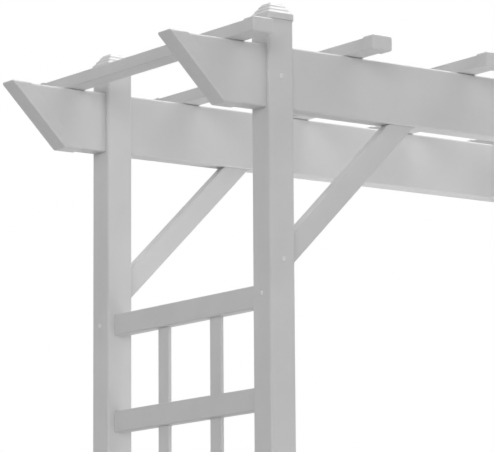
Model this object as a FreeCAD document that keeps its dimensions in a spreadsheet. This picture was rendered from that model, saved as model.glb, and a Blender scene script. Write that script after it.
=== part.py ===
import FreeCAD, Part
import math
import os
import Sketcher

# Garden arbor of hollow white vinyl: four posts, two mitred beams, roof slats, knee braces and two side
# lattices. X runs along the beams, Y from front to rear, Z up; the origin lies on the ground midway
# between the four posts. All lengths are in millimetres.

os.makedirs("parts", exist_ok=True)
doc = FreeCAD.newDocument("garden_arbor")

# Driving dimensions
DIMENSIONS = {
    "overall_height": 2138,      # ground to the flat tops of the post caps
    "post_width": 50.8,
    "post_wall": 3.2,
    "post_corner": 4,
    "post_spacing": 488,         # front post centre to rear post centre
    "post_cap_skirt": 10.5,
    "post_cap_rise": 19,         # from the skirt up to the flat top
    "post_cap_tiers": 3,
    "post_cap_step": 1.2,        # upright step between one sloped tier and the next
    "post_cap_flat": 24.5,
    "post_cap_cover": 6.5,       # how far the skirt reaches down over the post
    "post_cap_wall": 1.6,
    "beam_drop": 73,             # cap top down to the beam's upper side
    "beam_height": 107,
    "beam_thick": 35,
    "beam_wall": 2.5,
    "beam_corner": 4,
    "beam_overhang": 218,        # post centre to the beam's upper tip
    "beam_cap_wall": 1.4,
    "beam_cap_depth": 26,        # measured square to the mitred end
    "beam_cap_edge": 1.5,
    "tube_width": 38.1,          # one flat tube serves as slat, rail and brace
    "tube_thick": 22.2,
    "tube_wall": 1.8,
    "tube_corner": 2.5,
    "slat_count": 7,
    "slat_pitch": 247,
    "slat_outset": 85.5,         # outermost slat's centre outside the post's centre
    "slat_overhang": 94,         # post centre to the end of the slat's cap
    "slat_cap_depth": 27,
    "slat_cap_wall": 1.6,
    "slat_cap_edge": 3.2,
    "rail_count": 8,
    "rail_pitch": 171,
    "rail_drop": 418,            # beam's upper side down to the top rail's centre
    "rail_entry": 6,             # rail end past the post's centre
    "baluster_width": 31.75,
    "baluster_thick": 6.4,
    "baluster_corner": 1,
    "baluster_head_room": 4,
    "brace_length": 406,
    "brace_drop": 371.5,         # beam's upper side down to where brace and post centre lines meet
    "brace_entry": 6,            # brace end past the post's centre line
    "brace_screw_drop": 361,
    "brace_screw_inset": 3,
    "screw_head": 8,
    "screw_head_height": 2.4,
    "screw_head_round": 1.6,
    "screw_shank": 4,
    "screw_length": 32,
    "screw_point": 4,
    "recess_length": 4.6,
    "recess_width": 1.1,
    "recess_depth": 1.2,
    "play": 0.3,                 # free space beside a piece in its hole or cap
    "cutter_margin": 20,         # how far a mitre cut reaches past the piece
}

sheet = doc.addObject("Spreadsheet::Sheet", "Sizes")
for row, (alias, number) in enumerate(DIMENSIONS.items(), start=1):
    sheet.set(f"A{row}", alias.replace("_", " "))
    sheet.set(f"B{row}", str(number))
    sheet.setAlias(f"B{row}", alias)
doc.recompute()


class Size:
    """A length that carries both its sheet expression and its present value."""

    def __init__(self, text, value):
        self.text = text
        self.value = value

    def __add__(self, other):
        other = as_size(other)
        return Size(f"({self.text} + {other.text})", self.value + other.value)

    def __sub__(self, other):
        other = as_size(other)
        return Size(f"({self.text} - {other.text})", self.value - other.value)

    def __mul__(self, other):
        other = as_size(other)
        return Size(f"({self.text} * {other.text})", self.value * other.value)

    def __truediv__(self, other):
        other = as_size(other)
        return Size(f"({self.text} / {other.text})", self.value / other.value)

    def __neg__(self):
        return Size(f"(0 - {self.text})", -self.value)


def as_size(number):
    """Lets plain numbers stand beside sheet lengths in a sum."""
    if isinstance(number, Size):
        return number
    return Size(str(number), float(number))


def cell(alias):
    """The sheet's length of that name."""
    return Size(f"Sizes.{alias}", float(sheet.get(alias)))


ZERO = as_size(0)
NEAR = 1e-5       # coordinates closer than this are the same
LEAST_CUT = 1     # cubic millimetres that any real cut exceeds
DIAGONAL = Size("sqrt(2)", math.sqrt(2))
LEFT, RIGHT = -1, 1
FRONT, REAR = -1, 1
SIDE_NAMES = {LEFT: "left", RIGHT: "right"}
END_NAMES = {FRONT: "front", REAR: "rear"}

post_width = cell("post_width")
post_wall = cell("post_wall")
post_corner = cell("post_corner")
beam_height = cell("beam_height")
beam_thick = cell("beam_thick")
beam_corner = cell("beam_corner")
tube_width = cell("tube_width")
tube_thick = cell("tube_thick")
tube_wall = cell("tube_wall")
tube_corner = cell("tube_corner")
play = cell("play")
margin = cell("cutter_margin")
screw_hole = cell("screw_shank") + play * 2

slat_count = int(sheet.get("slat_count"))
rail_count = int(sheet.get("rail_count"))
tier_count = int(sheet.get("post_cap_tiers"))

# Places that follow from the driving dimensions
beam_top = cell("overall_height") - cell("beam_drop")
beam_middle = beam_top - beam_height / 2
post_height = cell("overall_height") - cell("post_cap_skirt") - cell("post_cap_rise") + cell("post_cap_cover")
post_y = cell("post_spacing") / 2
post_x = (cell("slat_count") - 1) * cell("slat_pitch") / 2 - cell("slat_outset")
beam_length = (post_x + cell("beam_overhang")) * 2
top_rail_z = beam_top - cell("rail_drop")
bottom_rail_z = top_rail_z - (cell("rail_count") - 1) * cell("rail_pitch")
slat_z = beam_top + tube_thick / 2
slat_half_length = post_y + cell("slat_overhang") - cell("slat_cap_wall")
brace_cross_z = beam_top - cell("brace_drop")
brace_screw_z = beam_top - cell("brace_screw_drop")
brace_half_cut = tube_width / DIAGONAL

# Balusters leave equal clear gaps between themselves and the posts
panel_clear = cell("post_spacing") - post_width
panel_gap = (panel_clear - cell("baluster_width") * 2) / 3
baluster_y = (panel_gap + cell("baluster_width")) / 2


# Sketches and features

def origin_part(body, role):
    """A plane or axis of the body's own origin."""
    return next(item for item in body.Origin.OriginFeatures if item.Role == role)


def new_body(label):
    """An empty body that becomes one piece of the arbor."""
    body = doc.addObject("PartDesign::Body", label)
    body.Label = label
    return body


def new_sketch(body, name, plane, offset=None):
    """A sketch on an origin plane, moved along that plane's normal by offset where given."""
    sketch = body.newObject("Sketcher::SketchObject", name)
    sketch.AttachmentSupport = [(origin_part(body, plane), "")]
    sketch.MapMode = "FlatFace"
    if offset is not None:
        sketch.setExpression("AttachmentOffset.Base.z", offset.text)
    return sketch


def fix_point(sketch, geometry, vertex, x, y):
    """Ties a point of the sketch to sheet lengths measured from the sketch's origin."""
    for kind, length, axis in (("DistanceX", x, -2), ("DistanceY", y, -1)):
        if abs(length.value) < NEAR:
            sketch.addConstraint(Sketcher.Constraint("PointOnObject", geometry, vertex, axis))
            continue
        index = sketch.addConstraint(Sketcher.Constraint(kind, -1, 1, geometry, vertex, length.value))
        sketch.setExpression(f"Constraints[{index}]", length.text)


def outline(sketch, corners):
    """A closed outline of straight lines through the corners."""
    points = [FreeCAD.Vector(x.value, y.value, 0) for x, y in corners]
    first = sketch.GeometryCount
    count = len(points)
    for number in range(count):
        sketch.addGeometry(Part.LineSegment(points[number], points[(number + 1) % count]))
    for number in range(count):
        following = first + (number + 1) % count
        sketch.addConstraint(Sketcher.Constraint("Coincident", first + number, 2, following, 1))
    for number, (x, y) in enumerate(corners):
        fix_point(sketch, first + number, 1, x, y)


def rectangle(sketch, left, bottom, right, top):
    """A rectangle between two opposite corners."""
    outline(sketch, [(left, bottom), (right, bottom), (right, top), (left, top)])


def rounded_rectangle(sketch, width, height, radius, level=ZERO):
    """A rectangle with rounded corners, centred on the sketch's upright axis at the given level."""
    x = width.value / 2
    y = height.value / 2
    r = radius.value
    low = level.value - y
    high = level.value + y
    first = sketch.GeometryCount
    turns = [(x - r, low + r, -90), (x - r, high - r, 0), (r - x, high - r, 90), (r - x, low + r, 180)]
    straights = [
        ((r - x, low), (x - r, low)),
        ((x, low + r), (x, high - r)),
        ((x - r, high), (r - x, high)),
        ((-x, high - r), (-x, low + r)),
    ]
    for (start, end), (centre_x, centre_y, angle) in zip(straights, turns):
        sketch.addGeometry(Part.LineSegment(FreeCAD.Vector(*start, 0), FreeCAD.Vector(*end, 0)))
        circle = Part.Circle(FreeCAD.Vector(centre_x, centre_y, 0), FreeCAD.Vector(0, 0, 1), r)
        sketch.addGeometry(Part.ArcOfCircle(circle, math.radians(angle), math.radians(angle + 90)))
    for number in range(4):
        line = first + 2 * number
        arc = line + 1
        next_line = first + 2 * ((number + 1) % 4)
        sketch.addConstraint(Sketcher.Constraint("Tangent", line, 2, arc, 1))
        sketch.addConstraint(Sketcher.Constraint("Tangent", arc, 2, next_line, 1))
        sketch.addConstraint(Sketcher.Constraint("Vertical" if number % 2 else "Horizontal", line))
        if number:
            sketch.addConstraint(Sketcher.Constraint("Equal", first + 1, arc))
    bottom, right, top, left = first, first + 2, first + 4, first + 6
    limits = [
        (Sketcher.Constraint("Radius", first + 1, r), radius),
        (Sketcher.Constraint("DistanceX", left, 1, right, 1, 2 * x), width),
        (Sketcher.Constraint("DistanceY", bottom, 1, top, 1, 2 * y), height),
        (Sketcher.Constraint("DistanceX", -1, 1, right, 1, x), width / 2),
        (Sketcher.Constraint("DistanceY", -1, 1, top, 1, high), height / 2 + level),
    ]
    for constraint, length in limits:
        index = sketch.addConstraint(constraint)
        sketch.setExpression(f"Constraints[{index}]", length.text)


def circle(sketch, x, y, diameter):
    """A full circle for a round hole."""
    shape = Part.Circle(FreeCAD.Vector(x.value, y.value, 0), FreeCAD.Vector(0, 0, 1), diameter.value / 2)
    number = sketch.addGeometry(shape)
    index = sketch.addConstraint(Sketcher.Constraint("Diameter", number, diameter.value))
    sketch.setExpression(f"Constraints[{index}]", diameter.text)
    fix_point(sketch, number, 3, x, y)


def pad(body, sketch, length, both_ways=False, reverse=False):
    """Extrudes a sketch along its plane's normal."""
    feature = body.newObject("PartDesign::Pad", f"{sketch.Name}_pad")
    feature.Profile = sketch
    feature.setExpression("Length", length.text)
    feature.SideType = "Symmetric" if both_ways else "One side"
    feature.Reversed = reverse
    sketch.Visibility = False
    return feature


def pocket(body, sketch, length, reverse=False):
    """Cuts a sketch into the body, by default against its plane's normal."""
    feature = body.newObject("PartDesign::Pocket", f"{sketch.Name}_pocket")
    feature.Profile = sketch
    feature.setExpression("Length", length.text)
    feature.Reversed = reverse
    sketch.Visibility = False
    return feature


def pocket_through(body, sketch):
    """Cuts a sketch through the body on both sides of its plane."""
    feature = body.newObject("PartDesign::Pocket", f"{sketch.Name}_pocket")
    feature.Profile = sketch
    feature.SideType = "Symmetric"
    feature.Type = "ThroughAll"
    sketch.Visibility = False
    return feature


def round_edges(body, feature, radius, chosen):
    """Rounds those edges of the last feature that the test function picks."""
    doc.recompute()
    edges = feature.Shape.Edges
    names = [f"Edge{number}" for number, edge in enumerate(edges, start=1) if chosen(edge)]
    fillet = body.newObject("PartDesign::Fillet", f"{feature.Name}_round")
    fillet.Base = (feature, names)
    fillet.setExpression("Radius", radius.text)
    return fillet


def place(body, x, y, z, rotation=None):
    """Puts a finished piece at its place on the arbor."""
    body.Placement = FreeCAD.Placement(FreeCAD.Vector(), rotation or FreeCAD.Rotation())
    body.setExpression("Placement.Base.x", x.text)
    body.setExpression("Placement.Base.y", y.text)
    body.setExpression("Placement.Base.z", z.text)
    pieces.append(body)


def tube_sketch(body, plane, width, height, wall, corner):
    """The ring-shaped profile of a hollow tube."""
    sketch = new_sketch(body, "tube_profile", plane)
    rounded_rectangle(sketch, width, height, corner)
    rounded_rectangle(sketch, width - wall * 2, height - wall * 2, corner - wall)
    return sketch


HALF_TURN = FreeCAD.Rotation(FreeCAD.Vector(0, 0, 1), 180)
pieces = []


# Posts

def make_post(side, end):
    """A post with its routed holes; the brace and the rails enter from the arbor's inner sides."""
    body = new_body(f"{END_NAMES[end]}_{SIDE_NAMES[side]}_post")
    profile = tube_sketch(body, "XY_Plane", post_width, post_width, post_wall, post_corner)
    pad(body, profile, post_height)

    slot = new_sketch(body, "beam_slot", "YZ_Plane")
    rounded_rectangle(slot, beam_thick + play * 2, beam_height + play * 2, beam_corner, beam_middle + play)
    pocket_through(body, slot)

    entry = new_sketch(body, "rail_hole", "XZ_Plane")
    rounded_rectangle(entry, tube_thick + play * 2, tube_width + play * 2, tube_corner, bottom_rail_z + play)
    lowest = pocket(body, entry, post_width, reverse=end == REAR)
    rails = body.newObject("PartDesign::LinearPattern", "rail_holes")
    rails.Originals = [lowest]
    rails.Direction = (origin_part(body, "Z_Axis"), [""])
    rails.Mode = "Spacing"
    rails.setExpression("Offset", cell("rail_pitch").text)
    rails.setExpression("Occurrences", cell("rail_count").text)
    body.Tip = rails

    foot = new_sketch(body, "brace_hole", "YZ_Plane")
    inner_face = brace_cross_z + post_width / 2
    hole_height = brace_half_cut * 2 + post_wall + play * 4
    rounded_rectangle(foot, tube_thick + play * 2, hole_height, tube_corner, inner_face - post_wall / 2)
    pocket(body, foot, post_width, reverse=side == LEFT)

    fasteners = new_sketch(body, "beam_and_brace_screw_holes", "XZ_Plane")
    circle(fasteners, ZERO, beam_middle, screw_hole)
    circle(fasteners, -cell("brace_screw_inset") * side, brace_screw_z, screw_hole)
    pocket(body, fasteners, post_width, reverse=end == FRONT)

    fasteners = new_sketch(body, "rail_screw_holes", "YZ_Plane")
    circle(fasteners, ZERO, top_rail_z, screw_hole)
    circle(fasteners, ZERO, bottom_rail_z, screw_hole)
    pocket(body, fasteners, post_width, reverse=side == RIGHT)
    place(body, post_x * side, post_y * end, ZERO)


# Post caps

def make_post_cap(side, end):
    """A hollow stepped pyramid with a flat top, on a skirt that covers the post's end."""
    body = new_body(f"{END_NAMES[end]}_{SIDE_NAMES[side]}_post_cap")
    wall = cell("post_cap_wall")
    skirt = cell("post_cap_skirt")
    rise = cell("post_cap_rise")
    cover = cell("post_cap_cover")
    flat = cell("post_cap_flat")
    tiers = cell("post_cap_tiers")
    step = cell("post_cap_step")
    outer = post_width + (play + wall) * 2
    corner = post_corner + wall
    tier_rise = (rise - step * (tiers - 1)) / tiers
    tier_taper = (outer - flat) / tiers

    base = new_sketch(body, "skirt", "XY_Plane")
    rounded_rectangle(base, outer, outer, corner)
    pad(body, base, skirt)

    sections = []
    for number in range(tier_count):
        foot_z = skirt + (tier_rise + step) * number
        foot_width = outer - tier_taper * number
        for width, level in ((foot_width, foot_z), (foot_width - tier_taper, foot_z + tier_rise)):
            section = new_sketch(body, "tier_section", "XY_Plane", level)
            rounded_rectangle(section, width, width, corner * width / outer)
            sections.append(section)
    pyramid = body.newObject("PartDesign::AdditiveLoft", "pyramid")
    pyramid.Profile = sections[0]
    pyramid.Sections = sections[1:]
    pyramid.Ruled = True

    mouth = new_sketch(body, "mouth", "XY_Plane")
    opening = post_width + play * 2
    rounded_rectangle(mouth, opening, opening, post_corner)
    pocket(body, mouth, cover, reverse=True)

    low = new_sketch(body, "hollow_foot", "XY_Plane", cover)
    rounded_rectangle(low, post_width - post_wall * 2, post_width - post_wall * 2, corner / 2)
    high = new_sketch(body, "hollow_head", "XY_Plane", skirt + rise - wall)
    rounded_rectangle(high, flat - wall * 4, flat - wall * 4, corner / 2)
    hollow = body.newObject("PartDesign::SubtractiveLoft", "hollow")
    hollow.Profile = low
    hollow.Sections = [high]
    place(body, post_x * side, post_y * end, post_height - cover)


# Beams

def make_beam(end):
    """A hollow beam with mitred ends, slotted below for the braces; its outer side faces local -Y."""
    body = new_body(f"{END_NAMES[end]}_beam")
    profile = tube_sketch(body, "YZ_Plane", beam_thick, beam_height, cell("beam_wall"), beam_corner)
    pad(body, profile, beam_length, both_ways=True)

    mitres = new_sketch(body, "mitres", "XZ_Plane")
    for side in (LEFT, RIGHT):
        tip = beam_length / 2 + margin
        toe = beam_length / 2 - beam_height - margin
        level = beam_height / 2 + margin
        outline(mitres, [(tip * side, level), (toe * side, -level), (tip * side, -level)])
    pocket_through(body, mitres)

    slots = new_sketch(body, "brace_slots", "XY_Plane")
    half = tube_thick / 2 + play
    reach = cell("brace_drop") - beam_height
    near = post_x - reach + brace_half_cut + play * 2
    far = post_x - reach - brace_half_cut - cell("beam_wall") - play * 2
    for side in (LEFT, RIGHT):
        rectangle(slots, near * side, -half, far * side, half)
    pocket(body, slots, beam_height)

    fasteners = new_sketch(body, "post_screw_holes", "XZ_Plane")
    for side in (LEFT, RIGHT):
        circle(fasteners, post_x * side, ZERO, screw_hole)
    pocket(body, fasteners, beam_thick, reverse=True)

    fasteners = new_sketch(body, "slat_screw_holes", "XY_Plane")
    for number in range(slat_count):
        circle(fasteners, slat_x(number), ZERO, screw_hole)
    pocket(body, fasteners, beam_height, reverse=True)
    place(body, ZERO, post_y * end, beam_middle, HALF_TURN if end == REAR else None)


def make_beam_cap(side, end):
    """A sleeve with a closed mitred end that slips over the end of a beam."""
    body = new_body(f"{END_NAMES[end]}_beam_{SIDE_NAMES[side]}_cap")
    wall = cell("beam_cap_wall")
    cut = (beam_height - beam_length) / 2
    face = cut - wall * DIAGONAL
    mouth = cut + (cell("beam_cap_depth") - wall) * DIAGONAL
    level = beam_height / 2 + play + wall
    shell = new_sketch(body, "shell", "XZ_Plane")
    outline(shell, [(face - level, level), (face + level, -level),
                    (mouth + level, -level), (mouth - level, level)])
    shell_pad = pad(body, shell, beam_thick + (play + wall) * 2, both_ways=True)
    long_edges = round_edges(body, shell_pad, beam_corner, runs_along_x)
    round_edges(body, long_edges, cell("beam_cap_edge"), lies_on_mitre(face.value))

    level = beam_height / 2 + play
    beyond = mouth + margin
    hollow = new_sketch(body, "hollow", "XZ_Plane")
    outline(hollow, [(cut - level, level), (cut + level, -level),
                     (beyond + level, -level), (beyond - level, level)])
    hollow_pocket = pocket(body, hollow, beam_thick + play * 2)
    hollow_pocket.SideType = "Symmetric"
    place(body, ZERO, post_y * end, beam_middle, HALF_TURN if side == RIGHT else None)


def runs_along_x(edge):
    """Whether an edge is straight and parallel to X."""
    first, last = edge.Vertexes[0].Point, edge.Vertexes[-1].Point
    return abs(first.y - last.y) < NEAR and abs(first.z - last.z) < NEAR


def lies_on_mitre(offset):
    """A test for the edges in the 45-degree plane on which x + z equals offset."""
    return lambda edge: all(abs(vertex.X + vertex.Z - offset) < NEAR for vertex in edge.Vertexes)


# Roof slats

def slat_x(number):
    """Centre of a slat along the beams, counted from the left."""
    return cell("slat_pitch") * (number - (slat_count - 1) / 2)


def make_slat(number):
    """A flat tube across both beams, with screw holes over each of them."""
    body = new_body(f"slat_{number + 1}")
    profile = tube_sketch(body, "XZ_Plane", tube_width, tube_thick, tube_wall, tube_corner)
    pad(body, profile, slat_half_length * 2, both_ways=True)
    fasteners = new_sketch(body, "screw_holes", "XY_Plane")
    for end in (FRONT, REAR):
        circle(fasteners, ZERO, post_y * end, screw_hole)
    pocket_through(body, fasteners)
    place(body, slat_x(number), ZERO, slat_z)


def make_slat_cap(number, end):
    """A cup that slips over the end of a slat; its closed side faces local -Y."""
    body = new_body(f"slat_{number + 1}_{END_NAMES[end]}_cap")
    wall = cell("slat_cap_wall")
    sleeve = (play + wall) * 2
    cup = new_sketch(body, "cup", "XZ_Plane", wall)
    rounded_rectangle(cup, tube_width + sleeve, tube_thick + sleeve, tube_corner + wall)
    cup_pad = pad(body, cup, cell("slat_cap_depth"), reverse=True)
    closed_side = -wall.value
    round_edges(body, cup_pad, cell("slat_cap_edge"),
                lambda edge: all(abs(vertex.Y - closed_side) < NEAR for vertex in edge.Vertexes))
    hollow = new_sketch(body, "hollow", "XZ_Plane")
    rounded_rectangle(hollow, tube_width + play * 2, tube_thick + play * 2, tube_corner)
    pocket(body, hollow, cell("slat_cap_depth"))
    place(body, slat_x(number), slat_half_length * end, slat_z, HALF_TURN if end == REAR else None)


# Knee braces

def make_brace(side, end):
    """A square-cut tube that enters the post's inner side and the beam's underside at 45 degrees."""
    body = new_body(f"{END_NAMES[end]}_{SIDE_NAMES[side]}_brace")
    profile = tube_sketch(body, "YZ_Plane", tube_thick, tube_width, tube_wall, tube_corner)
    pad(body, profile, cell("brace_length"))

    across = cell("brace_screw_inset") + cell("brace_entry")
    up = cell("brace_drop") + cell("brace_entry") - cell("brace_screw_drop")
    fastener = new_sketch(body, "screw_hole", "XZ_Plane")
    circle(fastener, (up + across) / DIAGONAL, (up - across) / DIAGONAL, screw_hole)
    pocket(body, fastener, tube_thick, reverse=end == side)

    rising = FreeCAD.Rotation(FreeCAD.Vector(0, 1, 0), -45)
    rotation = HALF_TURN.multiply(rising) if side == RIGHT else rising
    entry = cell("brace_entry")
    place(body, (post_x + entry) * side, post_y * end, brace_cross_z - entry, rotation)


# Side lattices

def make_rail(side, number):
    """A rail let into the front and rear posts, slotted where the balusters pass."""
    body = new_body(f"{SIDE_NAMES[side]}_rail_{number + 1}")
    profile = tube_sketch(body, "XZ_Plane", tube_thick, tube_width, tube_wall, tube_corner)
    pad(body, profile, (post_y + cell("rail_entry")) * 2, both_ways=True)

    slots = new_sketch(body, "baluster_slots", "XY_Plane")
    half_x = cell("baluster_thick") / 2 + play
    half_y = cell("baluster_width") / 2 + play
    for end in (FRONT, REAR):
        middle = baluster_y * end
        rectangle(slots, -half_x, middle - half_y, half_x, middle + half_y)
    is_top = number == 0
    is_bottom = number == rail_count - 1
    if is_top or is_bottom:
        pocket(body, slots, tube_width, reverse=is_bottom)
        fasteners = new_sketch(body, "screw_holes", "YZ_Plane")
        for end in (FRONT, REAR):
            circle(fasteners, post_y * end, ZERO, screw_hole)
        pocket(body, fasteners, tube_thick, reverse=side == RIGHT)
    else:
        pocket_through(body, slots)
    place(body, post_x * side, ZERO, top_rail_z - cell("rail_pitch") * number)


def make_baluster(side, end):
    """A flat strip that stands in the bottom rail and passes up through the others into the top rail."""
    body = new_body(f"{SIDE_NAMES[side]}_{END_NAMES[end]}_baluster")
    profile = new_sketch(body, "strip_profile", "XY_Plane")
    rounded_rectangle(profile, cell("baluster_thick"), cell("baluster_width"), cell("baluster_corner"))
    foot = bottom_rail_z - tube_width / 2 + tube_wall
    head = top_rail_z + tube_width / 2 - tube_wall - cell("baluster_head_room")
    pad(body, profile, head - foot)
    place(body, post_x * side, baluster_y * end, foot)


# Screws

def make_screw_form():
    """One screw with its head above local z = 0, as the pattern for all of them."""
    body = new_body("screw_form")
    head = cell("screw_head") / 2
    shank = cell("screw_shank") / 2
    height = cell("screw_head_height")
    length = cell("screw_length")
    profile = new_sketch(body, "half_profile", "XZ_Plane")
    outline(profile, [(ZERO, -length), (shank, cell("screw_point") - length), (shank, ZERO),
                      (head, ZERO), (head, height), (ZERO, height)])
    turned = body.newObject("PartDesign::Revolution", "turned")
    turned.Profile = profile
    turned.ReferenceAxis = (origin_part(body, "Z_Axis"), [""])
    turned.Angle = 360
    round_edges(body, turned, cell("screw_head_round"),
                lambda edge: len(edge.Vertexes) == 1 and abs(edge.Vertexes[0].Z - height.value) < NEAR)
    long = cell("recess_length") / 2
    thin = cell("recess_width") / 2
    recess = new_sketch(body, "cross_recess", "XY_Plane", height)
    outline(recess, [(long, -thin), (long, thin), (thin, thin), (thin, long),
                     (-thin, long), (-thin, thin), (-long, thin), (-long, -thin),
                     (-thin, -thin), (-thin, -long), (thin, -long), (thin, -thin)])
    pocket(body, recess, cell("recess_depth"))
    doc.recompute()
    return body


def make_screws(form, seats):
    """Copies of the screw, each with its head's underside at a seat and its head facing outward."""
    copies = []
    for point, outward in seats:
        screw = form.Shape.copy()
        turn = FreeCAD.Rotation(FreeCAD.Vector(0, 0, 1), FreeCAD.Vector(*outward))
        screw.Placement = FreeCAD.Placement(FreeCAD.Vector(*(length.value for length in point)), turn)
        copies.append(screw)
    group = doc.addObject("Part::Feature", "screws")
    group.Shape = Part.makeCompound(copies)
    group.Placement = FreeCAD.Placement()
    pieces.append(group)


def post_screw_seats():
    """Beam and brace screws on the outer front or rear faces, rail screws on the outer sides."""
    seats = []
    for side in (LEFT, RIGHT):
        for end in (FRONT, REAR):
            face_y = (post_y + post_width / 2) * end
            face_x = (post_x + post_width / 2) * side
            seats.append(((post_x * side, face_y, beam_middle), (0, end, 0)))
            brace_x = (post_x - cell("brace_screw_inset")) * side
            seats.append(((brace_x, face_y, brace_screw_z), (0, end, 0)))
            for level in (top_rail_z, bottom_rail_z):
                seats.append(((face_x, post_y * end, level), (side, 0, 0)))
    return seats


def slat_screw_seats():
    """One screw down through each slat over each beam."""
    level = slat_z + tube_thick / 2
    return [((slat_x(number), post_y * end, level), (0, 0, 1))
            for number in range(slat_count) for end in (FRONT, REAR)]


# Assembly

for end in (FRONT, REAR):
    make_beam(end)
    for side in (LEFT, RIGHT):
        make_post(side, end)
        make_post_cap(side, end)
        make_beam_cap(side, end)
        make_brace(side, end)

for number in range(slat_count):
    make_slat(number)
    for end in (FRONT, REAR):
        make_slat_cap(number, end)

for side in (LEFT, RIGHT):
    for number in range(rail_count):
        make_rail(side, number)
    for end in (FRONT, REAR):
        make_baluster(side, end)

make_screws(make_screw_form(), post_screw_seats() + slat_screw_seats())
doc.recompute()

# Every feature is sound, and every cut takes material away
for item in doc.Objects:
    if "Invalid" in item.State or "Error" in item.State:
        raise RuntimeError(f"{item.Label} did not compute")
    if item.TypeId == "PartDesign::Pocket" and item.Shape.Volume > item.BaseFeature.Shape.Volume - LEAST_CUT:
        raise RuntimeError(f"{item.Label} cuts nothing")

for piece in pieces:
    if piece.Shape.isNull() or not piece.Shape.isValid():
        raise RuntimeError(f"{piece.Label} has no sound shape")
    piece.Shape.exportStep(f"parts/{piece.Label}.step")
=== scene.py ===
"""Looks of a white vinyl garden arbor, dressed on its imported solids, with a plain studio around it."""

import logging
import math
from abc import ABC, abstractmethod
from dataclasses import dataclass
from enum import Enum
from typing import Any

import bpy
from mathutils import Matrix, Vector

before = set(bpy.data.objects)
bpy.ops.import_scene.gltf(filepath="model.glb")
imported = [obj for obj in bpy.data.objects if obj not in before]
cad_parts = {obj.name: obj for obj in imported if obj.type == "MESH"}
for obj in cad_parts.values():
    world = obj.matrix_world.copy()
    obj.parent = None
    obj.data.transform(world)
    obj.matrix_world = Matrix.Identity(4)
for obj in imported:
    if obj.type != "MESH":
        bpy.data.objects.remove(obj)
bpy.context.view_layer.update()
log = logging.getLogger("arbor")

MM = 0.001
SIDES = ("left", "right")
ENDS = ("front", "rear")
WHITE = "#FFFFFF"
NOISE_LOW = 0.3         # nearly all of a noise pattern lies between these two values
NOISE_HIGH = 0.7
EDGE_SAMPLES = 4


def linear(hex_colour: str) -> tuple[float, float, float, float]:
    """Turns an sRGB hex colour into the linear values that shader sockets take.

    Args:
        hex_colour: Six hex digits after a hash.

    Returns:
        Red, green, blue and an alpha of one.
    """
    channels = [int(hex_colour[place:place + 2], 16) / 255 for place in (1, 3, 5)]
    red, green, blue = (c / 12.92 if c <= 0.04045 else ((c + 0.055) / 1.055) ** 2.4 for c in channels)
    return (red, green, blue, 1.0)


def add_node(tree: bpy.types.NodeTree, kind: str, inputs: dict[str | int, Any] | None = None,
             **settings: Any) -> bpy.types.Node:
    """Adds one node with its settings, its socket values and its links.

    Args:
        tree: The node tree to add to.
        kind: The node's type name.
        inputs: Socket name or number, and the value it holds or the output socket that feeds it.
        settings: Properties of the node itself.

    Returns:
        The new node.
    """
    node = tree.nodes.new(kind)
    for name, value in settings.items():
        setattr(node, name, value)
    for name, value in (inputs or {}).items():
        if isinstance(value, bpy.types.NodeSocket):
            tree.links.new(value, node.inputs[name])
        else:
            node.inputs[name].default_value = value
    return node


class Run(Enum):
    """The way a tube was drawn, as the turn that lays its length along the pattern's Z axis."""

    ALONG_X = (0.0, math.radians(90), 0.0)
    ALONG_Y = (math.radians(90), 0.0, 0.0)
    UPRIGHT = (0.0, 0.0, 0.0)
    RISING_RIGHT = (0.0, math.radians(-45), 0.0)
    RISING_LEFT = (0.0, math.radians(45), 0.0)


class Finish(ABC):
    """A surface as its maker and the weather left it."""

    @abstractmethod
    def material(self) -> bpy.types.Material:
        """Builds the finished material."""

    @staticmethod
    def start(name: str,
              **constants: float) -> tuple[bpy.types.Material, bpy.types.Node, bpy.types.NodeSocket]:
        """Starts a material.

        Args:
            name: The material's name.
            constants: Shader sockets that are the same all over the surface, with underscores for spaces.

        Returns:
            The material, its shader and the place on the arbor as a socket.
        """
        material = bpy.data.materials.new(name)
        material.use_nodes = True
        tree = material.node_tree
        shader = tree.nodes["Principled BSDF"]
        for socket, value in constants.items():
            shader.inputs[socket.replace("_", " ")].default_value = value
        return material, shader, add_node(tree, "ShaderNodeTexCoord").outputs["Object"]


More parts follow.
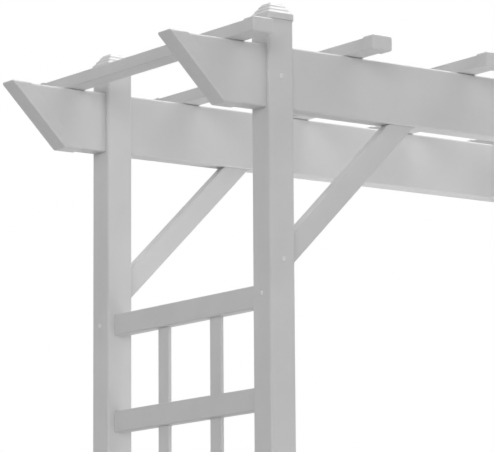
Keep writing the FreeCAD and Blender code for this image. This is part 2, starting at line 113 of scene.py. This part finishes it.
@dataclass(frozen=True)
class ExtrudedVinyl(Finish):
    """Rigid vinyl drawn through a die: satin, faintly lined along its run and a little chalked by the sun."""

    piece: str
    run: Run
    splash_height: float = 0.0
    clean: str = "#DCDCDC"
    chalked: str = "#D6D6D6"
    dusty: str = "#CFCCC4"
    splashed: str = "#BDB7AB"
    roughness: float = 0.42
    shinier: float = 0.05
    duller: float = 0.09
    ior: float = 1.53
    die_line: float = 4 * MM         # the real ones lie about 0.5 mm apart, too fine to show
    line_length: float = 1500 * MM
    line_depth: float = 0.04 * MM
    line_strength: float = 0.3
    ripple: float = 45 * MM
    ripple_depth: float = 0.25 * MM
    ripple_strength: float = 0.5
    patch: float = 140 * MM
    chalk_start: float = 0.35
    dust_start: float = 0.6          # upward part of the face's normal, here and in the next line
    dust_full: float = 0.95
    dust_cover: float = 0.5
    splash_cover: float = 0.55
    edge: float = 0.8 * MM

    def material(self) -> bpy.types.Material:
        """Builds the finished material.

        Returns:
            The vinyl of one kind of tube.
        """
        material, shader, place = self.start(f"extruded_satin_vinyl_{self.piece}", IOR=self.ior)
        tree = material.node_tree

        # Die lines and long ripples follow the tube, so light slides along it instead of lying flat
        laid = add_node(tree, "ShaderNodeMapping", {"Vector": place, "Rotation": self.run.value})
        lines = self.drawn_noise(tree, laid.outputs["Vector"], self.die_line)
        ripples = self.drawn_noise(tree, laid.outputs["Vector"], self.ripple)

        # Chalking turns soft patches of the skin duller and a shade darker
        patches = add_node(tree, "ShaderNodeTexNoise", {
            "Vector": place, "Scale": 1 / self.patch, "Detail": 6.0, "Roughness": 0.6}).outputs["Fac"]
        worn = add_node(tree, "ShaderNodeMapRange", {
            "Value": patches, "From Min": self.chalk_start, "From Max": NOISE_HIGH})
        gloss = add_node(tree, "ShaderNodeMapRange", {
            "Value": patches, "From Min": NOISE_LOW, "From Max": NOISE_HIGH,
            "To Min": self.roughness - self.shinier, "To Max": self.roughness + self.duller})
        colour = add_node(tree, "ShaderNodeMix", {
            "Factor": worn.outputs["Result"], "A": linear(self.clean), "B": linear(self.chalked)},
            data_type="RGBA").outputs["Result"]
        colour = self.with_dust(tree, colour, patches)
        if self.splash_height:
            colour = self.with_splash(tree, colour, place, patches)

        # The die leaves no sharp arris, so edges are read as slightly round
        soft = add_node(tree, "ShaderNodeBevel", {"Radius": self.edge}, samples=EDGE_SAMPLES)
        wavy = add_node(tree, "ShaderNodeBump", {
            "Height": ripples.outputs["Fac"], "Normal": soft.outputs["Normal"],
            "Strength": self.ripple_strength, "Distance": self.ripple_depth})
        lined = add_node(tree, "ShaderNodeBump", {
            "Height": lines.outputs["Fac"], "Normal": wavy.outputs["Normal"],
            "Strength": self.line_strength, "Distance": self.line_depth})
        tree.links.new(colour, shader.inputs["Base Color"])
        tree.links.new(gloss.outputs["Result"], shader.inputs["Roughness"])
        tree.links.new(lined.outputs["Normal"], shader.inputs["Normal"])
        return material

    def drawn_noise(self, tree: bpy.types.NodeTree, laid: bpy.types.NodeSocket,
                    width: float) -> bpy.types.Node:
        """Adds noise drawn out along the run.

        Args:
            tree: The node tree to add to.
            laid: Coordinates with the run along Z.
            width: Width of one line across the run.

        Returns:
            The noise node.
        """
        drawn = add_node(tree, "ShaderNodeMapping", {
            "Vector": laid, "Scale": (1 / width, 1 / width, 1 / self.line_length)})
        return add_node(tree, "ShaderNodeTexNoise", {
            "Vector": drawn.outputs["Vector"], "Scale": 1.0, "Detail": 3.0, "Roughness": 0.5})

    def with_dust(self, tree: bpy.types.NodeTree, colour: bpy.types.NodeSocket,
                  patches: bpy.types.NodeSocket) -> bpy.types.NodeSocket:
        """Lays a thin film of dust on the upper sides, where rain doesn't run off at once.

        Args:
            tree: The node tree to add to.
            colour: The skin's colour so far.
            patches: Noise that breaks up the film.

        Returns:
            The colour with its dust.
        """
        facing = add_node(tree, "ShaderNodeSeparateXYZ", {
            "Vector": add_node(tree, "ShaderNodeNewGeometry").outputs["Normal"]})
        upper = add_node(tree, "ShaderNodeMapRange", {
            "Value": facing.outputs["Z"], "From Min": self.dust_start, "From Max": self.dust_full,
            "To Max": self.dust_cover})
        film = add_node(tree, "ShaderNodeMath", {
            0: upper.outputs["Result"], 1: patches}, operation="MULTIPLY")
        return add_node(tree, "ShaderNodeMix", {
            "Factor": film.outputs["Value"], "A": colour, "B": linear(self.dusty)},
            data_type="RGBA").outputs["Result"]

    def with_splash(self, tree: bpy.types.NodeTree, colour: bpy.types.NodeSocket,
                    place: bpy.types.NodeSocket, patches: bpy.types.NodeSocket) -> bpy.types.NodeSocket:
        """Throws a thin film of soil up the lowest stretch, as rain does.

        Args:
            tree: The node tree to add to.
            colour: The skin's colour so far.
            place: The place on the arbor.
            patches: Noise that breaks up the film.

        Returns:
            The colour with its soil.
        """
        height = add_node(tree, "ShaderNodeSeparateXYZ", {"Vector": place})
        low = add_node(tree, "ShaderNodeMapRange", {
            "Value": height.outputs["Z"], "From Max": self.splash_height,
            "To Min": self.splash_cover, "To Max": 0.0}, interpolation_type="SMOOTHSTEP")
        film = add_node(tree, "ShaderNodeMath", {
            0: low.outputs["Result"], 1: patches}, operation="MULTIPLY")
        return add_node(tree, "ShaderNodeMix", {
            "Factor": film.outputs["Value"], "A": colour, "B": linear(self.splashed)},
            data_type="RGBA").outputs["Result"]


@dataclass(frozen=True)
class MouldedVinyl(Finish):
    """Injection-moulded vinyl: glossier than the tubes, with a stippled skin and faint flow marks."""

    clean: str = "#DEDEDE"
    flowed: str = "#D7D7D7"
    roughness: float = 0.34
    shinier: float = 0.05
    duller: float = 0.06
    ior: float = 1.53
    stipple: float = 1.6 * MM        # the real grain is about 0.3 mm, too fine to show
    stipple_depth: float = 0.05 * MM
    stipple_strength: float = 0.25
    flow_mark: float = 30 * MM
    swirl: float = 1.4
    edge: float = 1.0 * MM

    def material(self) -> bpy.types.Material:
        """Builds the finished material.

        Returns:
            The vinyl of all caps.
        """
        material, shader, place = self.start("moulded_stippled_vinyl", IOR=self.ior)
        tree = material.node_tree

        # Plastic that cooled as it flowed leaves faint swirls of tone and gloss
        flow = add_node(tree, "ShaderNodeTexNoise", {
            "Vector": place, "Scale": 1 / self.flow_mark, "Detail": 4.0,
            "Distortion": self.swirl}).outputs["Fac"]
        colour = add_node(tree, "ShaderNodeMix", {
            "Factor": flow, "A": linear(self.clean), "B": linear(self.flowed)}, data_type="RGBA")
        gloss = add_node(tree, "ShaderNodeMapRange", {
            "Value": flow, "From Min": NOISE_LOW, "From Max": NOISE_HIGH,
            "To Min": self.roughness - self.shinier, "To Max": self.roughness + self.duller})

        # The mould's stippled skin breaks up the shine, and its edges come out slightly round
        grains = add_node(tree, "ShaderNodeTexNoise", {
            "Vector": place, "Scale": 1 / self.stipple, "Detail": 2.0})
        soft = add_node(tree, "ShaderNodeBevel", {"Radius": self.edge}, samples=EDGE_SAMPLES)
        bump = add_node(tree, "ShaderNodeBump", {
            "Height": grains.outputs["Fac"], "Normal": soft.outputs["Normal"],
            "Strength": self.stipple_strength, "Distance": self.stipple_depth})
        tree.links.new(colour.outputs["Result"], shader.inputs["Base Color"])
        tree.links.new(gloss.outputs["Result"], shader.inputs["Roughness"])
        tree.links.new(bump.outputs["Normal"], shader.inputs["Normal"])
        return material


@dataclass(frozen=True)
class EnamelledSteel(Finish):
    """Screw steel under white enamel that is chipped to the zinc where the driver slipped."""

    enamel: str = "#EFEFEF"
    zinc: str = "#A9A9A6"
    roughness: float = 0.3
    bare_roughness: float = 0.5
    chip: float = 1.4 * MM
    chip_depth: float = 0.05 * MM
    chip_strength: float = 0.4
    chip_start: float = 0.66
    chip_full: float = 0.7

    def material(self) -> bpy.types.Material:
        """Builds the finished material.

        Returns:
            The enamel of all screws.
        """
        material, shader, place = self.start("white_enamelled_steel")
        tree = material.node_tree

        # A few dull grey specks, a little below the glossy white, tell that there is metal under it
        spots = add_node(tree, "ShaderNodeTexNoise", {
            "Vector": place, "Scale": 1 / self.chip, "Detail": 3.0})
        bare = add_node(tree, "ShaderNodeMapRange", {
            "Value": spots.outputs["Fac"], "From Min": self.chip_start,
            "From Max": self.chip_full}).outputs["Result"]
        colour = add_node(tree, "ShaderNodeMix", {
            "Factor": bare, "A": linear(self.enamel), "B": linear(self.zinc)}, data_type="RGBA")
        gloss = add_node(tree, "ShaderNodeMapRange", {
            "Value": bare, "To Min": self.roughness, "To Max": self.bare_roughness})
        bump = add_node(tree, "ShaderNodeBump", {
            "Height": bare, "Strength": self.chip_strength, "Distance": self.chip_depth}, invert=True)
        tree.links.new(colour.outputs["Result"], shader.inputs["Base Color"])
        tree.links.new(bare, shader.inputs["Metallic"])
        tree.links.new(gloss.outputs["Result"], shader.inputs["Roughness"])
        tree.links.new(bump.outputs["Normal"], shader.inputs["Normal"])
        return material


class SubAssembly(ABC):
    """Pieces that go together; model.glb holds their shapes, and they get their looks here."""

    @abstractmethod
    def dress(self) -> None:
        """Gives every piece its finish."""

    @staticmethod
    def wear(material: bpy.types.Material, *names: str) -> None:
        """Puts one material on some pieces.

        Args:
            material: Their new material.
            names: The pieces' nodes.
        """
        for name in names:
            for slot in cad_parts[name].material_slots:
                slot.material = material
            log.info("%s: %s", name, material.name)


@dataclass
class Posts(SubAssembly):
    """Four square posts, each under a stepped cap."""

    caps: bpy.types.Material
    splash_height: float = 320 * MM

    def dress(self) -> None:
        """Gives every piece its finish."""
        tube = ExtrudedVinyl("post", Run.UPRIGHT, splash_height=self.splash_height).material()
        for end in ENDS:
            for side in SIDES:
                self.wear(tube, f"{end}_{side}_post")
                self.wear(self.caps, f"{end}_{side}_post_cap")


@dataclass
class Beams(SubAssembly):
    """Front and rear beams with a mitred cap on each end."""

    caps: bpy.types.Material
    die_line: float = 6 * MM

    def dress(self) -> None:
        """Gives every piece its finish."""
        tube = ExtrudedVinyl("beam", Run.ALONG_X, die_line=self.die_line).material()
        for end in ENDS:
            self.wear(tube, f"{end}_beam")
            self.wear(self.caps, *(f"{end}_beam_{side}_cap" for side in SIDES))


@dataclass
class Roof(SubAssembly):
    """Slats across both beams, with a cup-shaped cap on each end."""

    caps: bpy.types.Material
    slat_count: int = 7

    def dress(self) -> None:
        """Gives every piece its finish."""
        tube = ExtrudedVinyl("slat", Run.ALONG_Y).material()
        for number in range(1, self.slat_count + 1):
            self.wear(tube, f"slat_{number}")
            self.wear(self.caps, *(f"slat_{number}_{end}_cap" for end in ENDS))


@dataclass
class Braces(SubAssembly):
    """Knee braces that rise from the posts to the beams."""

    runs: tuple[Run, Run] = (Run.RISING_RIGHT, Run.RISING_LEFT)

    def dress(self) -> None:
        """Gives every piece its finish."""
        for side, run in zip(SIDES, self.runs):
            tube = ExtrudedVinyl(f"{side}_brace", run).material()
            self.wear(tube, *(f"{end}_{side}_brace" for end in ENDS))


@dataclass
class Lattices(SubAssembly):
    """Rails between the posts of each side, with two flat balusters through them."""

    rail_count: int = 8

    def dress(self) -> None:
        """Gives every piece its finish."""
        tube = ExtrudedVinyl("rail", Run.ALONG_Y).material()
        strip = ExtrudedVinyl("baluster", Run.UPRIGHT).material()
        for side in SIDES:
            self.wear(tube, *(f"{side}_rail_{number}" for number in range(1, self.rail_count + 1)))
            self.wear(strip, *(f"{side}_{end}_baluster" for end in ENDS))


@dataclass
class Screws(SubAssembly):
    """Round-headed screws in the posts and slats."""

    chip: float = 1.4 * MM

    def dress(self) -> None:
        """Gives every piece its finish."""
        self.wear(EnamelledSteel(chip=self.chip).material(), "screws")


@dataclass(frozen=True)
class Lamp:
    """A soft flat lamp that the camera doesn't see."""

    name: str
    size: tuple[float, float]
    power: float
    place: tuple[float, float, float]
    target: tuple[float, float, float]
    spread: float = math.radians(180)

    def hang(self) -> None:
        """Hangs the lamp at its place and turns it to its target."""
        data = bpy.data.lights.new(self.name, "AREA")
        data.shape = "RECTANGLE"
        data.size, data.size_y = self.size
        data.energy = self.power
        data.spread = self.spread
        lamp = bpy.data.objects.new(self.name, data)
        lamp.location = self.place
        away = Vector(self.place) - Vector(self.target)
        lamp.rotation_euler = away.to_track_quat("Z", "Y").to_euler()
        lamp.visible_camera = False
        bpy.context.scene.collection.objects.link(lamp)


@dataclass
class Studio:
    """A pale floor that fades into a white room, soft lamps and the camera."""

    floor_size: float = 80.0
    floor_lit: str = "#D4D4D4"
    floor_seen: str = "#F2F2F2"
    floor_roughness: float = 0.9
    fade_start: float = 2.5
    fade_end: float = 11.0
    fill: float = 0.34
    wall: float = 4.2
    wall_edge: float = 0.8
    wall_side: tuple[float, float, float] = (-0.67, -0.735, 0.1)
    lamps: tuple[Lamp, ...] = (
        Lamp("high_lamp", size=(3.4, 3.4), power=116.0, place=(1.3, -0.15, 5.3), target=(0.0, 0.0, 2.0)),
        Lamp("low_lamp", size=(1.6, 1.6), power=5.0, place=(0.0, -0.9, 0.05), target=(0.0, -0.7, 2.0)),
        Lamp("walk_lamp", size=(0.6, 0.1), power=1.4, place=(0.0, -0.22, 1.1), target=(0.0, 0.23, 2.0),
             spread=math.radians(110)),
    )
    camera_place: tuple[float, float, float] = (-3.8710, -4.6630, 0.8657)
    heading: float = math.radians(35.58)
    pitch: float = math.radians(9.314)
    roll: float = math.radians(-0.362)
    focal_pixels: float = 3334.9
    image_width: int = 494
    sensor: float = 36.0

    @staticmethod
    def seen_rays(tree: bpy.types.NodeTree) -> bpy.types.NodeSocket:
        """Adds a mask for the rays that end in a picture, straight or by gloss or glass.

        Args:
            tree: The node tree to add to.

        Returns:
            One for such a ray, otherwise zero.
        """
        rays = add_node(tree, "ShaderNodeLightPath").outputs
        straight = add_node(tree, "ShaderNodeMath", {
            0: rays["Is Camera Ray"], 1: rays["Is Glossy Ray"]}, operation="MAXIMUM")
        seen = add_node(tree, "ShaderNodeMath", {
            0: straight.outputs["Value"], 1: rays["Is Transmission Ray"]}, operation="MAXIMUM")
        return seen.outputs["Value"]

    def lay_floor(self) -> None:
        """Lays a matt floor that keeps the shadow near the arbor and fades to white far from it."""
        bpy.ops.object.select_all(action="DESELECT")
        bpy.ops.mesh.primitive_plane_add(size=self.floor_size)
        floor = bpy.context.object
        floor.name = "studio_floor"
        material = bpy.data.materials.new("matt_studio_paper")
        material.use_nodes = True
        tree = material.node_tree
        shader = tree.nodes["Principled BSDF"]
        shader.inputs["Roughness"].default_value = self.floor_roughness
        seen = self.seen_rays(tree)
        paper = add_node(tree, "ShaderNodeMix", {
            "Factor": seen, "A": linear(self.floor_lit), "B": linear(self.floor_seen)}, data_type="RGBA")
        tree.links.new(paper.outputs["Result"], shader.inputs["Base Color"])
        away = add_node(tree, "ShaderNodeVectorMath", {
            0: add_node(tree, "ShaderNodeTexCoord").outputs["Object"]}, operation="LENGTH")
        far = add_node(tree, "ShaderNodeMapRange", {
            "Value": away.outputs["Value"], "From Min": self.fade_start, "From Max": self.fade_end},
            interpolation_type="SMOOTHSTEP")
        faded = add_node(tree, "ShaderNodeMath", {0: far.outputs["Result"], 1: seen}, operation="MULTIPLY")
        white = add_node(tree, "ShaderNodeEmission", {"Color": linear(WHITE), "Strength": 1.0})
        surface = add_node(tree, "ShaderNodeMixShader", {
            0: faded.outputs["Value"], 1: shader.outputs["BSDF"], 2: white.outputs["Emission"]})
        tree.links.new(surface.outputs["Shader"], tree.nodes["Material Output"].inputs["Surface"])
        floor.data.materials.append(material)

    def light(self) -> None:
        """Lights the roof from above, fronts and rear beam from below, and all of it from the room."""
        for lamp in self.lamps:
            lamp.hang()
        world = bpy.data.worlds.new("white_room")
        world.use_nodes = True
        tree = world.node_tree
        tree.nodes.clear()

        # Two opposite walls are brighter than the rest of the room, so faces side by side differ in tone
        direction = add_node(tree, "ShaderNodeTexCoord").outputs["Generated"]
        sideways = add_node(tree, "ShaderNodeVectorMath", {
            0: direction, 1: self.wall_side}, operation="DOT_PRODUCT").outputs["Value"]
        across = add_node(tree, "ShaderNodeMath", {0: sideways, 1: sideways}, operation="MULTIPLY")
        strength = add_node(tree, "ShaderNodeMapRange", {
            "Value": across.outputs["Value"], "From Min": self.wall_edge,
            "To Min": self.fill, "To Max": self.wall}, interpolation_type="SMOOTHSTEP")
        fill = add_node(tree, "ShaderNodeBackground", {
            "Color": linear(WHITE), "Strength": strength.outputs["Result"]})
        white = add_node(tree, "ShaderNodeBackground", {"Color": linear(WHITE), "Strength": 1.0})
        mixed = add_node(tree, "ShaderNodeMixShader", {
            0: self.seen_rays(tree), 1: fill.outputs["Background"], 2: white.outputs["Background"]})
        add_node(tree, "ShaderNodeOutputWorld", {"Surface": mixed.outputs["Shader"]})
        bpy.context.scene.world = world
        bpy.context.scene.view_settings.view_transform = "Standard"

    def set_camera(self) -> None:
        """Stands the camera low, in front and to the left, looking up at the left corner of the roof."""
        data = bpy.data.cameras.new("photo_camera")
        data.sensor_width = self.sensor
        data.lens = self.focal_pixels / self.image_width * self.sensor
        camera = bpy.data.objects.new("photo_camera", data)
        level = Matrix.Rotation(-self.heading, 3, "Z")
        forward = level @ Vector((0.0, math.cos(self.pitch), math.sin(self.pitch)))
        up = level @ Vector((0.0, -math.sin(self.pitch), math.cos(self.pitch)))
        right = forward.cross(up)
        tilted_right = right * math.cos(self.roll) + up * math.sin(self.roll)
        tilted_up = up * math.cos(self.roll) - right * math.sin(self.roll)
        turn = Matrix((tilted_right, tilted_up, -forward)).transposed()
        camera.matrix_world = Matrix.Translation(self.camera_place) @ turn.to_4x4()
        bpy.context.scene.collection.objects.link(camera)
        bpy.context.scene.camera = camera


def main() -> None:
    """Dresses the arbor from the ground up and sets up the studio around it."""
    logging.basicConfig(level=logging.INFO, format="%(name)s: %(message)s")
    caps = MouldedVinyl().material()
    for assembly in (Posts(caps), Beams(caps), Roof(caps), Braces(), Lattices(), Screws()):
        assembly.dress()
    studio = Studio()
    studio.lay_floor()
    studio.light()
    studio.set_camera()


if __name__ == "__main__":
    main()
